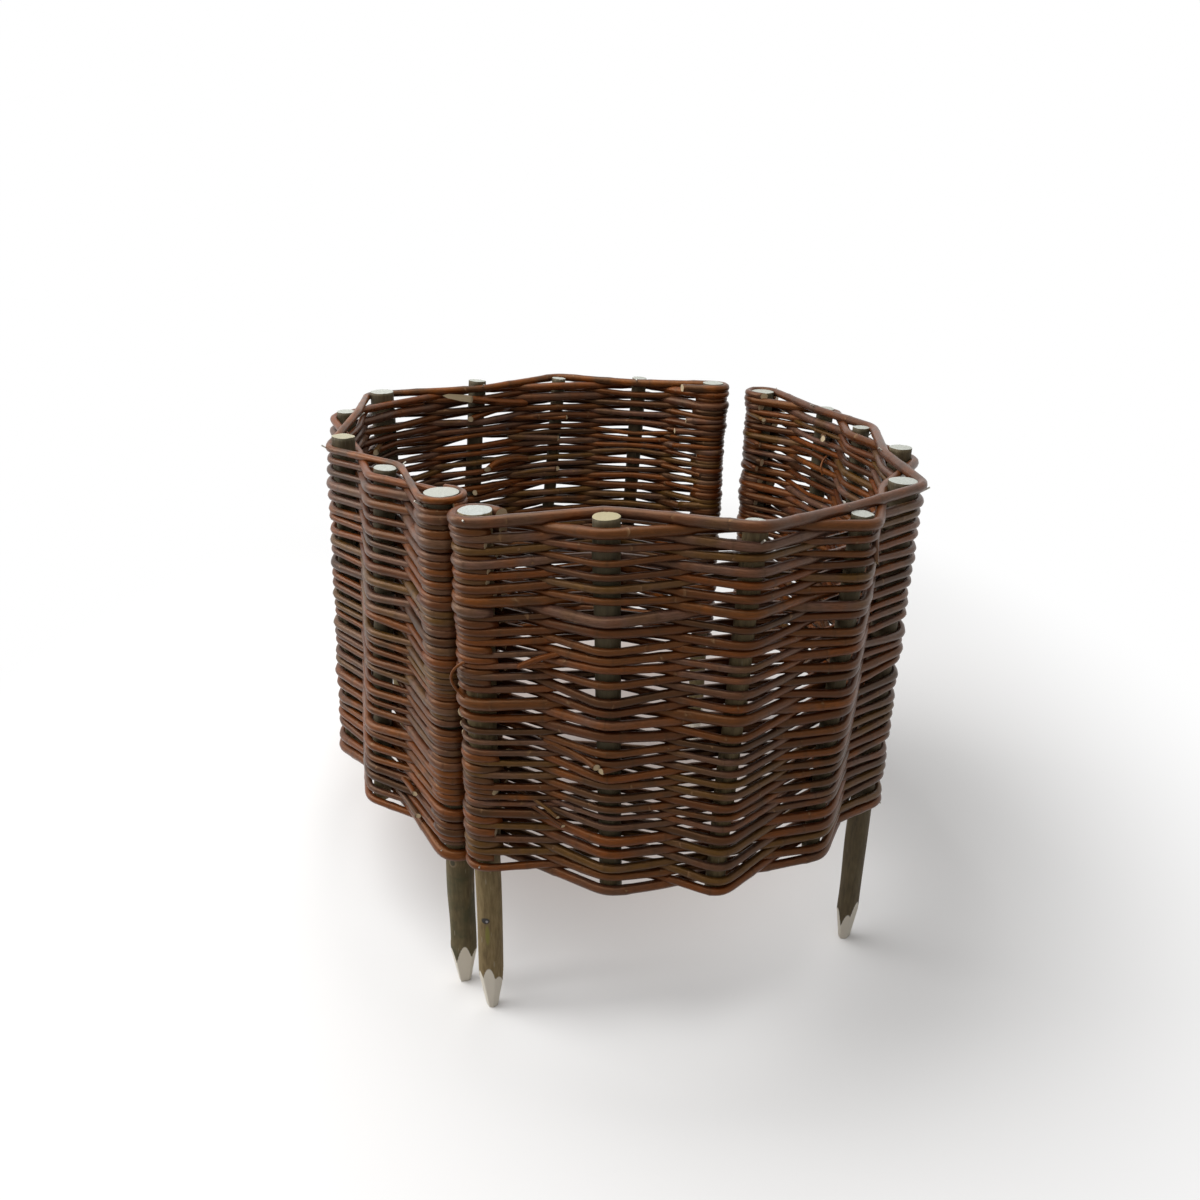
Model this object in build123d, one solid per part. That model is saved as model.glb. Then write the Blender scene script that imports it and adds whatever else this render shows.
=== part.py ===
from build123d import *
import os
from collections import namedtuple
from math import cos, pi, radians, sin, tan

# A round wattle edging for a bed or a tree, made of two half rings that stand end to end.
# Each half is a row of hazel stakes with willow rods woven in and out between them.
# All sizes are in millimetres. +Z is up, the floor under the stake tips is z = 0,
# +X points to the right half and +Y from the front seam to the back seam.

# Driving dimensions
STAKE_TOP = 500.0
POINT_LENGTH = 40.0
POINT_TIP = 8.0
POINT_CUTS = 6
STAKE_TAPER = 4.0
STAKE_FLATS = 20
LONG_STAKES = (0, 4, 8)

COURSES = 13
RODS_IN_COURSE = 2
ROD_THICKNESS = 6.4
ROD_WAIST = 3.4
COURSE_BITE = 0.5
CHEVRON = 3.0
SEAT_GAP = 0.3
WRAP_STEP = 60.0
SETTLING_PASSES = 6

PIN_DIAMETER = 1.6
PIN_LENGTH = 24.0
PIN_FLATS = 6
TOP_PIN_SLANT = 35.0
TOP_PIN_PROUD = 5.0
BOTTOM_PIN_PROUD = 1.0

# One half ring, bent by hand. Its stakes stand on an arc, counted from the front seam
# to the back seam, and each strays a little from its place on that arc. A stake's foot
# may lean back along the wall or flare out of it, in degrees.
Half = namedtuple(
    "Half",
    "name turn centre radius first_bearing pitch weave_bottom weave_top"
    " stray_out stray_along thickness rise lean flare",
)
LEFT = Half(
    name="left",
    turn=-1,
    centre=(-28.0, 10.0),
    radius=270.0,
    first_bearing=-85.0,
    pitch=23.7,
    weave_bottom=157.0,
    weave_top=500.5,
    stray_out=(13, -15, -12, 2, 20, -5, -2, 1, -11),
    stray_along=(6, -7, 2, 5, -3, 8, 7, -1, -9),
    thickness=(29, 20, 21, 19, 27, 21, 17, 19, 25),
    rise=(2, -1, 3, 3, 3, 3, -1, 0, 4),
    lean=(0, -3.5, -1, 0, 0, 5, 5, 3, 0),
    flare=(0, 3, 2.5, 1, 0, 0, 0, 0, 0),
)
RIGHT = Half(
    name="right",
    turn=1,
    centre=(7.0, -9.0),
    radius=287.0,
    first_bearing=-84.6,
    pitch=21.1,
    weave_bottom=168.0,
    weave_top=498.5,
    stray_out=(-8, -3, 15, 17, 1, -13, -24, 1, 20),
    stray_along=(1, 4, 8, 0, -7, -5, 2, 3, 0),
    thickness=(27, 22, 19, 18, 25, 21, 17, 20, 27),
    rise=(-2, 4, 2, -6, -3, 1, -4, -6, -5),
    lean=(0, -1.5, 2.5, 1.5, 0, 0, 0, 0, 0),
    flare=(0, 0, 0, -1.5, 0, 0, 0, 0, 0),
)

STAKES = len(LEFT.thickness)
ROUNDNESS = cos(pi / STAKE_FLATS)
UP = Vector(0, 0, 1)


def stake_frame(half, number):
    """The top centre of a stake, the way out of the ring there and the way along the wall."""
    bearing = radians(half.first_bearing + half.turn * half.pitch * number)
    out = Vector(cos(bearing), sin(bearing), 0)
    along = UP.cross(out) * half.turn
    arc_centre = Vector(half.centre[0], half.centre[1], 0)
    top = STAKE_TOP + half.rise[number]
    foot = arc_centre + out * (half.radius + half.stray_out[number])
    return foot + along * half.stray_along[number] + UP * top, out, along


def stake_place(half, number, height):
    """The centre of a stake at a height, with its lean along the wall and its flare."""
    top, out, along = stake_frame(half, number)
    drop = top.Z - height
    back = along * (drop * tan(radians(half.lean[number])))
    return top - back + out * (drop * tan(radians(half.flare[number]))) - UP * drop


def stake_radius(half, number, height):
    """The radius of a stake at a height: it is thickest at the top."""
    whole = half.thickness[number] / 2
    return whole - STAKE_TAPER / 2 * (STAKE_TOP - height) / STAKE_TOP


def wall_direction(half, number, height):
    """The way along the wall at a stake, from its two neighbours, or from one at an end."""
    before = stake_place(half, max(number - 1, 0), height)
    after = stake_place(half, min(number + 1, STAKES - 1), height)
    return (after - before).normalized()


def wall_out(half, number, height):
    """The way out of the wall at a stake."""
    return wall_direction(half, number, height).cross(UP) * half.turn


def make_stake(half, number):
    """A round stake with a sawn top; a long one runs on below the weave to a cut point."""
    is_long = number in LONG_STAKES
    top, out, along = stake_frame(half, number)
    foot = stake_place(half, number, 0 if is_long else half.weave_bottom)
    length = (top - foot).length
    foot_flat = stake_radius(half, number, foot.Z) * ROUNDNESS
    top_flat = stake_radius(half, number, top.Z) * ROUNDNESS
    pole = widening_prism(STAKE_FLATS, foot_flat, top_flat, length)
    if is_long:
        tip = POINT_TIP / 2
        crown = tip + (foot_flat - tip) * length / POINT_LENGTH
        pole = pole & widening_prism(POINT_CUTS, tip, crown, length)
    return Plane(origin=foot, x_dir=out, z_dir=top - foot) * pole


def widening_prism(sides, foot, top, length):
    """A pole of flat sides, from the distance of its flats at the foot to that at the top."""
    low = prism_corners(sides, foot, 0)
    high = prism_corners(sides, top, length)
    rings = [low, high]
    for i in range(sides):
        rings.append([low[i - 1], low[i], high[i], high[i - 1]])
    return Solid(Shell([make_face(Polyline(*ring, close=True)) for ring in rings]))


def prism_corners(sides, flat, height):
    """The corners of a regular polygon, from the distance of its flats."""
    reach = flat / cos(pi / sides)
    turns = [2 * pi * i / sides for i in range(sides)]
    return [Vector(reach * cos(a), reach * sin(a), height) for a in turns]


def course_pitch(half):
    """The height of one course in the wall of a half."""
    return (half.weave_top - half.weave_bottom) / COURSES


def course_section(half):
    """The section of a course: rods lying on each other, narrow where two rods meet."""
    rod_height = (course_pitch(half) + COURSE_BITE) / RODS_IN_COURSE
    bottom = -(course_pitch(half) + COURSE_BITE) / 2
    outside = [(ROD_WAIST / 2, bottom)]
    for rod in range(RODS_IN_COURSE):
        outside.append((ROD_THICKNESS / 2, bottom + rod_height * (rod + 0.5)))
        outside.append((ROD_WAIST / 2, bottom + rod_height * (rod + 1)))
    inside = [(-x, z) for x, z in reversed(outside)]
    return make_face(Polyline(*outside, *inside, close=True))


def passes_outside(half, number, course):
    """Plain weave: over one stake and under the next, the other way on the next course."""
    return (number + course) % 2 == 0


def wrap_points(half, end, course, height):
    """The turn of a course round an end stake, as a polygon that the stake just fits in."""
    centre = stake_place(half, end, height)
    outward = wall_out(half, end, height)
    free = wall_direction(half, end, height) * (1 if end else -1)
    seat = stake_radius(half, end, height) + ROD_THICKNESS / 2 + SEAT_GAP
    reach = seat / cos(radians(WRAP_STEP / 2))
    side = 1 if passes_outside(half, end, course) else -1
    turns = [90 - WRAP_STEP * step for step in range(int(180 / WRAP_STEP) + 1)]
    return [
        centre + free * (reach * cos(radians(a))) + outward * (side * reach * sin(radians(a)))
        for a in turns
    ]


def course_points(half, course):
    """The line of one course, from its turn round the first stake to that round the last."""
    level = half.weave_bottom + course_pitch(half) * (course + 0.5)
    first_turn = wrap_points(half, 0, course, level)[::-1]
    last_turn = wrap_points(half, STAKES - 1, course, level)
    places = [Vector(0, 0, 0)] * STAKES
    places[0] = first_turn[-1]
    places[-1] = last_turn[0]
    inner = range(1, STAKES - 1)
    for number in inner:
        places[number] = stake_place(half, number, level)
    for _ in range(SETTLING_PASSES):
        for number in inner:
            places[number] = settle(half, course, number, level, places)
    return first_turn[:-1] + places + last_turn[1:]


def settle(half, course, number, level, places):
    """Where a course bends at a stake, so that it bears on the stake on both sides."""
    side = 1 if passes_outside(half, number, course) else -1
    height = level - side * CHEVRON
    centre = stake_place(half, number, height)
    outward = wall_out(half, number, height)
    here = places[number]
    runs = (here - places[number - 1], places[number + 1] - here)
    squareness = min(abs(run.normalized().cross(UP).dot(outward)) for run in runs)
    seat = stake_radius(half, number, height) + ROD_THICKNESS / 2 + SEAT_GAP
    return centre + outward * (side * seat / squareness)


def make_course(half, course):
    """One course: its section carried along its line, mitred where it bends at a stake."""
    points = course_points(half, course)
    ahead = (points[1] - points[0]).normalized()
    start = Plane(origin=points[0], x_dir=UP.cross(ahead), z_dir=ahead)
    line = Polyline(*points)
    return sweep(start * course_section(half), path=line, transition=Transition.RIGHT)


def make_weave(half):
    """The woven wall of a half: courses that meet where they cross between the stakes."""
    courses = [make_course(half, course) for course in range(COURSES)]
    return courses[0].fuse(*courses[1:])


def make_pin(half, number, course, slant, proud):
    """A wire pin driven through a rod into a stake, at a slant from above or square on."""
    outside = passes_outside(half, number, course)
    at_end = number in (0, STAKES - 1)
    level = half.weave_bottom + course_pitch(half) * (course + 0.5)
    chevron = 0 if at_end else (-CHEVRON if outside else CHEVRON)
    rod = course_pitch(half) / 4 * (1 if course else -1)
    height = level + chevron + rod
    outward = wall_out(half, number, height) * (1 if outside else -1)
    middle = stake_radius(half, number, height) + ROD_THICKNESS / 2 + SEAT_GAP
    back = outward * cos(radians(slant)) + UP * sin(radians(slant))
    rod_centre = stake_place(half, number, height) + outward * middle
    head = Plane(origin=rod_centre + back * (ROD_THICKNESS / 2 + proud), z_dir=back)
    return head * extrude(RegularPolygon(PIN_DIAMETER / 2, PIN_FLATS), -PIN_LENGTH)


def make_pins(half, numbers, course, slant, proud):
    """The pins that hold one course to its stakes."""
    return Compound([make_pin(half, number, course, slant, proud) for number in numbers])


def make_half(half):
    """Every piece of one half, by node name."""
    pieces = {f"{half.name}_weave": make_weave(half)}
    for number in range(STAKES):
        pieces[f"{half.name}_stake_{number + 1}"] = make_stake(half, number)
    pieces[f"{half.name}_top_pins"] = make_pins(
        half, range(STAKES), COURSES - 1, TOP_PIN_SLANT, TOP_PIN_PROUD
    )
    pieces[f"{half.name}_bottom_pins"] = make_pins(half, LONG_STAKES, 0, 0, BOTTOM_PIN_PROUD)
    return pieces


pieces = {**make_half(LEFT), **make_half(RIGHT)}
whole = Compound(list(pieces.values())).bounding_box()
centring = Pos(-whole.center().X, -whole.center().Y, 0)
print("moved to the middle by", -whole.center().X, -whole.center().Y)
os.makedirs("parts", exist_ok=True)
for node, piece in pieces.items():
    export_step(centring * piece, f"parts/{node}.step")
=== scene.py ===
# %% [markdown]
# # A woven edging ring
#
# This lesson builds a garden edging that is woven like a basket: hazel stakes stand in a
# ring, and willow rods run in and out between them. It is made of two half rings, one on
# the left and one on the right, which stand end to end with a narrow gap at the front
# and another at the back.
#
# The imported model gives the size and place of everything. It is loaded first, and its box
# is kept, so that the finished piece can be compared with it at the end.

# %% Load the frame
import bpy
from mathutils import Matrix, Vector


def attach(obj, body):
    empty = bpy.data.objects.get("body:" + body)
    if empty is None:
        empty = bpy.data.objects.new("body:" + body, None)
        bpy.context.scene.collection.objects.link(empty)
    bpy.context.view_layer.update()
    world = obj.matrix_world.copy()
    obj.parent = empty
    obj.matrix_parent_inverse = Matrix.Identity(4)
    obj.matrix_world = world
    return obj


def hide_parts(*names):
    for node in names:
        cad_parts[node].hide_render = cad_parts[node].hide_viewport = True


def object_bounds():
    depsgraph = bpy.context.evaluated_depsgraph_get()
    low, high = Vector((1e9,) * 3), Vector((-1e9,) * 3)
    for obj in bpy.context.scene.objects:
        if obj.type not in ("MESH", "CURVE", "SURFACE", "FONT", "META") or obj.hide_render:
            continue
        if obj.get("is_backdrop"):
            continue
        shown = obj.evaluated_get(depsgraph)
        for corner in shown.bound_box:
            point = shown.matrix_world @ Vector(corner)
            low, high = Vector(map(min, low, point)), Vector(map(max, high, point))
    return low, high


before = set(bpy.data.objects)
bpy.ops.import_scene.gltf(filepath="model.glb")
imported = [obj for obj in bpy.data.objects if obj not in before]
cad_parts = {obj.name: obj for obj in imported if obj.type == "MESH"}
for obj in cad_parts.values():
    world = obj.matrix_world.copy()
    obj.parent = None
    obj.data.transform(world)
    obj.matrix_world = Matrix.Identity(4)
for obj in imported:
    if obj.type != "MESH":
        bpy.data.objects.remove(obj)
cad_box = [list(corner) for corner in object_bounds()]

from collections import namedtuple

import bpy
import numpy as np
from mathutils import Matrix, Vector

MM = 0.001
IMAGE_SIZE = 1200
print("CAD box in mm:", np.round(np.array(cad_box) / MM, 1).tolist())

# %% [markdown]
# ## The camera
#
# The photograph looks down on the ring from the front right. A camera is a place, the way
# it looks and a lens, so the three directions of its own axes are worked out first and
# set as the columns of one matrix. The photographer held the camera almost level: the
# last value is the small turn that was left.

# %% The camera
CAMERA_PLACE = Vector((509.5, -894.9, 739.4)) * MM
CAMERA_AZIMUTH = np.radians(30.0)
CAMERA_PITCH = np.radians(22.71)
CAMERA_ROLL = np.radians(0.78)
FOCAL_PIXELS = 1017.0

ahead = Vector((
    -np.sin(CAMERA_AZIMUTH) * np.cos(CAMERA_PITCH),
    np.cos(CAMERA_AZIMUTH) * np.cos(CAMERA_PITCH),
    -np.sin(CAMERA_PITCH),
))
to_right = ahead.cross(Vector((0, 0, 1))).normalized()
upward = to_right.cross(ahead)
axes = Matrix((to_right, upward, -ahead)).transposed()
camera_data = bpy.data.cameras.new("photo_camera")
camera_data.sensor_width = 36.0
camera_data.lens = camera_data.sensor_width * FOCAL_PIXELS / IMAGE_SIZE
camera = bpy.data.objects.new("photo_camera", camera_data)
bpy.context.scene.collection.objects.link(camera)
turned = axes @ Matrix.Rotation(CAMERA_ROLL, 3, "Z")
camera.matrix_world = Matrix.Translation(CAMERA_PLACE) @ turned.to_4x4()
bpy.context.scene.camera = camera
print("lens in mm:", round(camera_data.lens, 2))

# %% [markdown]
# ## Where the stakes stand
#
# Every rod bends round the stakes, so the stakes are measured before anything is woven.
# Each one is read from its node in the frame: the middle of its top, the middle of its
# foot and its radius at the top. A pole grows thinner towards the ground by a fixed rate,
# which is all that is needed to know its radius at any height.

# %% Read the stakes from the frame
STAKES = 9
LONG_STAKES = (0, 4, 8)
POLE_TAPER = 0.004
RIM_BAND = 2.5 * MM
UP = np.array([0.0, 0.0, 1.0])

Stake = namedtuple("Stake", "node top foot radius long")


def read_stake(half, number):
    """The end rings are the corners within a few millimetres of the top and of the foot.

    The middle of a ring is the mean of its corners, and the radius is the distance from
    the middle of the top to its farthest corner.
    """
    node = f"{half}_stake_{number + 1}"
    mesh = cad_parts[node].data
    corners = np.empty(len(mesh.vertices) * 3)
    mesh.vertices.foreach_get("co", corners)
    corners = np.unique(np.round(corners.reshape(-1, 3), 6), axis=0)
    height = corners[:, 2]
    rim = corners[height > height.max() - RIM_BAND]
    ring = corners[height < height.min() + RIM_BAND]
    top, foot = rim.mean(axis=0), ring.mean(axis=0)
    radius = np.linalg.norm(rim - top, axis=1).max()
    return Stake(node, top, foot, radius, number in LONG_STAKES)


stakes = {
    half: [read_stake(half, number) for number in range(STAKES)]
    for half in ("left", "right")
}


def stake_centres(row, height):
    """The middle of each stake at a height, on the straight line from its foot to its top."""
    tops = np.array([stake.top for stake in row])
    feet = np.array([stake.foot for stake in row])
    share = (height - feet[:, 2]) / (tops[:, 2] - feet[:, 2])
    return feet[:, :2] + share[:, None] * (tops - feet)[:, :2]


def stake_radii(row, height):
    """The radius at the top, less the taper over the drop from the top."""
    tops = np.array([stake.top[2] for stake in row])
    radii = np.array([stake.radius for stake in row])
    return radii - POLE_TAPER * (tops - height)


print("radii at the top in mm:", [round(s.radius / MM, 1) for s in stakes["left"]])

# %% [markdown]
# ## Helpers for making meshes and materials
#
# Every shape below is worked out by numpy as whole arrays and then handed to Blender in
# one go. Small values that a material needs, such as which rod a point belongs to, are
# stored on the mesh as attributes.

# %% Helpers


def make_piece(name, node, points, faces, smooth, values):
    """A mesh object at the origin, with its values per point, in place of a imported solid."""
    mesh = bpy.data.meshes.new(name)
    mesh.from_pydata(points.tolist(), [], faces)
    mesh.polygons.foreach_set("use_smooth", smooth)
    for value_name, data in values.items():
        kind, field = ("FLOAT", "value") if data.ndim == 1 else ("FLOAT_VECTOR", "vector")
        attribute = mesh.attributes.new(value_name, kind, "POINT")
        attribute.data.foreach_set(field, data.astype(np.float32).ravel())
    mesh.update()
    piece = bpy.data.objects.new(name, mesh)
    bpy.context.scene.collection.objects.link(piece)
    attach(piece, "root")
    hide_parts(node)
    return piece


def linear(hex_colour):
    """Turns an sRGB hex colour into the linear values that a shader works with."""
    srgb = np.array([int(hex_colour[i:i + 2], 16) / 255 for i in (1, 3, 5)])
    low, high = srgb / 12.92, ((srgb + 0.055) / 1.055) ** 2.4
    return (*np.where(srgb <= 0.04045, low, high).tolist(), 1.0)


def add_node(tree, kind, sockets=(), stops=(), **settings):
    """Adds one node: its settings, the stops of its ramp, and what goes into its sockets."""
    node = tree.nodes.new(kind)
    for key, value in settings.items():
        setattr(node, key, value)
    for index, (position, colour) in enumerate(stops):
        if index >= len(node.color_ramp.elements):
            node.color_ramp.elements.new(position)
        node.color_ramp.elements[index].position = position
        node.color_ramp.elements[index].color = linear(colour)
    for socket, value in dict(sockets).items():
        if isinstance(value, bpy.types.NodeSocket):
            tree.links.new(value, node.inputs[socket])
        else:
            node.inputs[socket].default_value = value
    return node


def new_material(name):
    """An empty material, and its empty node tree."""
    material = bpy.data.materials.new(name)
    material.use_nodes = True
    tree = material.node_tree
    tree.nodes.clear()
    return material, tree


print("mid grey in linear light:", [round(part, 3) for part in linear("#808080")])

# %% [markdown]
# ## How a rod lies in the wall
#
# A willow rod is about a metre long, as thick as a pencil at the butt and thinner at the
# tip. The weaver lays it over one stake and under the next, and turns its ends round the
# end stakes. Seen from above it is a taut string on pegs: straight from one stake to the
# next, and bent round each stake on the side where it passes.
#
# Points on the ground are written as complex numbers here. A turn is then a product, and
# the way to the left of a direction is the direction times i.

# %% The taut string
RODS = 58
SOFTENING = 10.0 * MM
BEND_STEPS = np.linspace(0.0, 1.0, 7)
WRAP_STEPS = np.linspace(0.0, 1.0, 17)[1:]
OUT_IS_LEFT = {"left": 1, "right": -1}


def string_points(centres, offsets, wraps, tails):
    """The corners of the taut string, and the place of each stake and each end in it.

    A run between two stakes leans by the angle whose sine is the difference of the two
    signed offsets over the distance. Its contact with a stake is the middle of the stake
    plus the offset times the way to the left of the run. Round an end stake the contact
    turns on by the angle of the wrap, and the tail goes straight on from there.
    """
    gap = centres[1:] - centres[:-1]
    along = gap / abs(gap)
    sine = (offsets[1:] - offsets[:-1]) / abs(gap)
    left = 1j * along * (np.sqrt(1 - sine ** 2) + 1j * sine)
    before = np.concatenate(([left[0]], left))
    after = np.concatenate((left, [left[-1]]))
    bend = np.angle(after / before)[:, None] * BEND_STEPS
    arcs = centres[:, None] + offsets[:, None] * before[:, None] * np.exp(1j * bend)
    ends = []
    for end, way in ((0, 1), (-1, -1)):
        turn = way * np.sign(offsets[end]) * wraps[end] * WRAP_STEPS
        reach = before[end] if end else left[0]
        wrap = centres[end] + offsets[end] * reach * np.exp(1j * turn)
        onward = wrap[-1] - wrap[-2]
        tail = wrap[-1] + onward / abs(onward) * (tails[end] + SOFTENING)
        ends.append(np.concatenate((wrap, [tail])))
    line = np.concatenate((ends[0][::-1], arcs[0, :1], arcs[1:-1].ravel(),
                           arcs[-1, :1], ends[1]))
    first = len(ends[0])
    middle = first + 1 + len(BEND_STEPS) * np.arange(STAKES - 2) + len(BEND_STEPS) // 2
    knots = np.concatenate(([first], middle, [len(line) - len(ends[1]) - 1]))
    return line, knots


print("corners of the string at a stake and at an end:", len(BEND_STEPS), len(WRAP_STEPS) + 2)

# %% [markdown]
# A willow rod is stiff, so it doesn't bend as sharply as a string. The corners are softened
# by a moving average, which pulls the line inwards at each bend. The bends are therefore
# moved out, a few times over, until the softened rod still just touches its stake.

# %% The softened line of one rod
SAMPLE_STEP = 1.5 * MM
SETTLING_PASSES = 3


def soften(values, samples):
    """A moving average over a number of samples, with the ends carried straight on."""
    before = 2 * values[0] - values[samples:0:-1]
    after = 2 * values[-1] - values[-2:-samples - 2:-1]
    padded = np.concatenate((before, values, after))
    kernel = np.ones(2 * samples + 1) / (2 * samples + 1)
    return np.convolve(padded, kernel, "valid")


def rod_line(row, half, rod, height, radius, wraps, tails):
    """The softened line of a rod, its running length and the length at each stake.

    The seat of a rod at a stake is the radius of the stake plus its own. In each pass a
    bend moves out by what the nearest point of the softened line is short of its seat.
    """
    flat = stake_centres(row, height)
    centres = flat[:, 0] + 1j * flat[:, 1]
    side = np.where((np.arange(STAKES) + rod) % 2 == 1, 1, -1) * OUT_IS_LEFT[half]
    seat = stake_radii(row, height) + radius
    reach = seat.copy()
    for _ in range(SETTLING_PASSES):
        line, knots = string_points(centres, side * reach, wraps, tails)
        length = np.concatenate(([0.0], np.cumsum(abs(np.diff(line)))))
        even = np.arange(0.0, length[-1], SAMPLE_STEP)
        points = np.interp(even, length, line.real) + 1j * np.interp(even, length, line.imag)
        trim = round(SOFTENING / SAMPLE_STEP)
        points = soften(points, trim)
        nearest = abs(points[None, :] - centres[:, None]).min(axis=1)
        reach += seat - nearest
    return points[trim:-trim], even[trim:-trim], length[knots]


print("samples in the moving average:", 2 * round(SOFTENING / SAMPLE_STEP) + 1)

# %% [markdown]
# ## How thick the rods are
#
# A rod is thick at its butt and thin at its tip, so the weaver lays the butts to the left
# and to the right by turns, and the wall grows evenly. The two rods at the top edge and
# the two at the bottom are chosen a little thicker. The drawn sizes are scaled together,
# so that all the rods of a half fill its wall exactly.

# %% The size of every rod
# The bottom and the top of each wall, and how many mm its top edge rises at each stake.
Wall = namedtuple("Wall", "bottom top waves")
WALLS = {
    "left": Wall(157 * MM, 500.5 * MM, (1.3, 1.3, -6.2, 5.0, -0.7, -1.7, 1.3, -1.2, 2.3)),
    "right": Wall(168 * MM, 498.5 * MM, (-1.7, 8.3, 7.8, 0.3, -0.2, -0.2, -0.2, -1.2, -2.2)),
}
# Diameters in mm: the usual one, how much it strays, its limits, and what a thick rod and
# a rod at an edge of the wall have more.
Sizes = namedtuple("Sizes", "middle stray least most more_if_thick more_at_edge")
BUTTS = Sizes(6.8, 0.75, 5.2, 8.6, 0.8, 0.5)
TIPS = Sizes(4.7, 0.6, 3.4, 6.0, 1.1, 0.8)
THICK_SHARE = 0.14
EDGE_RODS = [0, 1, -2, -1]


def rod_sizes(random, wall):
    """Butt and tip diameters, with the butts to either end by turns.

    They are scaled by twice the height of the wall over the sum of all of them, because
    the mean of butt and tip is what a rod adds to the height.
    """
    butt, tip = (random.normal(ends.middle, ends.stray, RODS).clip(ends.least, ends.most) * MM
                 for ends in (BUTTS, TIPS))
    thick = random.random(RODS) < THICK_SHARE
    for size, ends in ((butt, BUTTS), (tip, TIPS)):
        size[thick] += ends.more_if_thick * MM
        size[EDGE_RODS] += ends.more_at_edge * MM
    fill = 2 * (wall.top - wall.bottom) / (butt + tip).sum()
    turned = (np.arange(RODS) // 2 + random.integers(0, 2, RODS)) % 2 == 0
    return np.where(turned, tip, butt) * fill, np.where(turned, butt, tip) * fill


for half, wall in WALLS.items():
    print(half, "wall, height per rod in mm:", round((wall.top - wall.bottom) / RODS / MM, 2))

# %% [markdown]
# ## How high each rod lies
#
# The rods are laid one on another, and where two neighbours cross between the stakes they
# touch. So the height of a rod at a crossing is the sum of the thicknesses of all the rods
# under it. At a stake only every second rod is on the same side, so there is room to
# spare: rods come together there in twos and threes and leave slits between them, which
# is what lets the light through. The top edge also rises and falls from stake to stake,
# and on the bottom edge each outer rod sags to the level of the lowest one.

# %% The height of every rod
CHEVRON = 1.0 * MM
BUNCH_SIZES = (1, 2, 3, 4)
BUNCH_SHARES = (0.3, 0.38, 0.22, 0.1)
BUNCH_PULL = 0.34
FULL_PULL_SHARE = 0.45
SAGGING_RODS = 12
LEVEL_RODS = 4
STRAY = 0.6 * MM
PLACES = 2 * STAKES - 1


def bunch(random, height):
    """Pulls small groups of rods on one side of a stake towards the middle of each group.

    A rod moves by its distance from the middle of its group times the pull of the group.
    """
    sizes = random.choice(BUNCH_SIZES, len(height), p=BUNCH_SHARES)
    group = np.searchsorted(np.cumsum(sizes), np.arange(len(height)), side="right")
    middle = np.bincount(group, height) / np.bincount(group)
    pull = random.uniform(0.0, BUNCH_PULL, len(middle))
    pull[random.random(len(middle)) < FULL_PULL_SHARE] = BUNCH_PULL
    return height + (middle[group] - height) * pull[group]


def rod_heights(random, wall, first, last):
    """The height of every rod at the stakes and at the crossings, by turns.

    At a crossing: the sum of the diameters below plus half its own, scaled to the wall.
    At a stake: the same, bunched with its neighbours on that side, less the chevron where
    it passes outside, except for the top few. The wave of the top edge fades towards the
    ground, and the two lowest and two highest rods don't stray.
    """
    rod = np.arange(RODS)
    share = np.linspace(0.0, 1.0, PLACES)
    diameter = first[:, None] + (last - first)[:, None] * share
    stacked = np.cumsum(diameter, axis=0) - diameter / 2
    height = wall.bottom + stacked * (wall.top - wall.bottom) / diameter.sum(axis=0)
    sag = diameter.mean() * np.clip(1 - rod / SAGGING_RODS, 0.0, 1.0) * (rod % 2)
    for stake in range(1, STAKES - 1):
        place = 2 * stake
        for parity in (0, 1):
            side = slice(parity, RODS - 2, 2)
            height[side, place] = bunch(random, height[side, place])
        outside = (stake + rod) % 2 == 1
        chevron = np.where(outside, -CHEVRON, CHEVRON) * (rod < RODS - LEVEL_RODS)
        height[:, place] += chevron - sag
    height[1, [0, -1]] -= diameter[1].mean()
    level = (height - wall.bottom) / (wall.top - wall.bottom)
    wave = np.interp(np.arange(PLACES), 2 * np.arange(STAKES), wall.waves) * MM
    free = (rod > 1) & (rod < RODS - 2)
    stray = random.normal(0.0, STRAY, height.shape) * free[:, None]
    return height + wave * level ** 2 + stray


print("heights kept for each rod:", PLACES)

# %% [markdown]
# ## From lines to rods
#
# A rod is a ring carried along its line. All the rods of a half have the same number of
# rings and of points in a ring, so one array holds them all. Rings stand closer together
# where the rod bends.
#
# A rod can end in three ways: it turns round the end stake and dives back into the wall,
# it lies along the wall and stops between two stakes, or it stops at its turn.

# %% The rings and the ends of a rod
RINGS = 134
BEND_WEIGHT = 28 * MM
BEND_LIMIT = 2.2
# Turn round the stake in degrees, then the straight tail in mm.
DIVING = ((212, 240), (5, 13))
LYING = ((185, 193), (22, 46))
STOPPED = (105, 2)
LOWEST = ((12, 3), (100, 3))
LYING_SHARES = (0.0, 0.34)
STOPPED_SHARE = 0.06
BARE_STRETCH = (290 * MM, 352 * MM)


def place_rings(line, length):
    """Where the rings stand: evenly in a measure that counts bends as extra length.

    Each step counts as its length times one plus the bend there, up to a limit.
    """
    way = np.gradient(line, length, axis=0)
    bend = np.linalg.norm(np.gradient(way, length, axis=0), axis=1)
    weight = 1.0 + np.minimum(bend[1:] * BEND_WEIGHT, BEND_LIMIT)
    measure = np.concatenate(([0.0], np.cumsum(weight * np.diff(length))))
    return np.interp(np.linspace(0.0, measure[-1], RINGS), measure, length)


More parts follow.
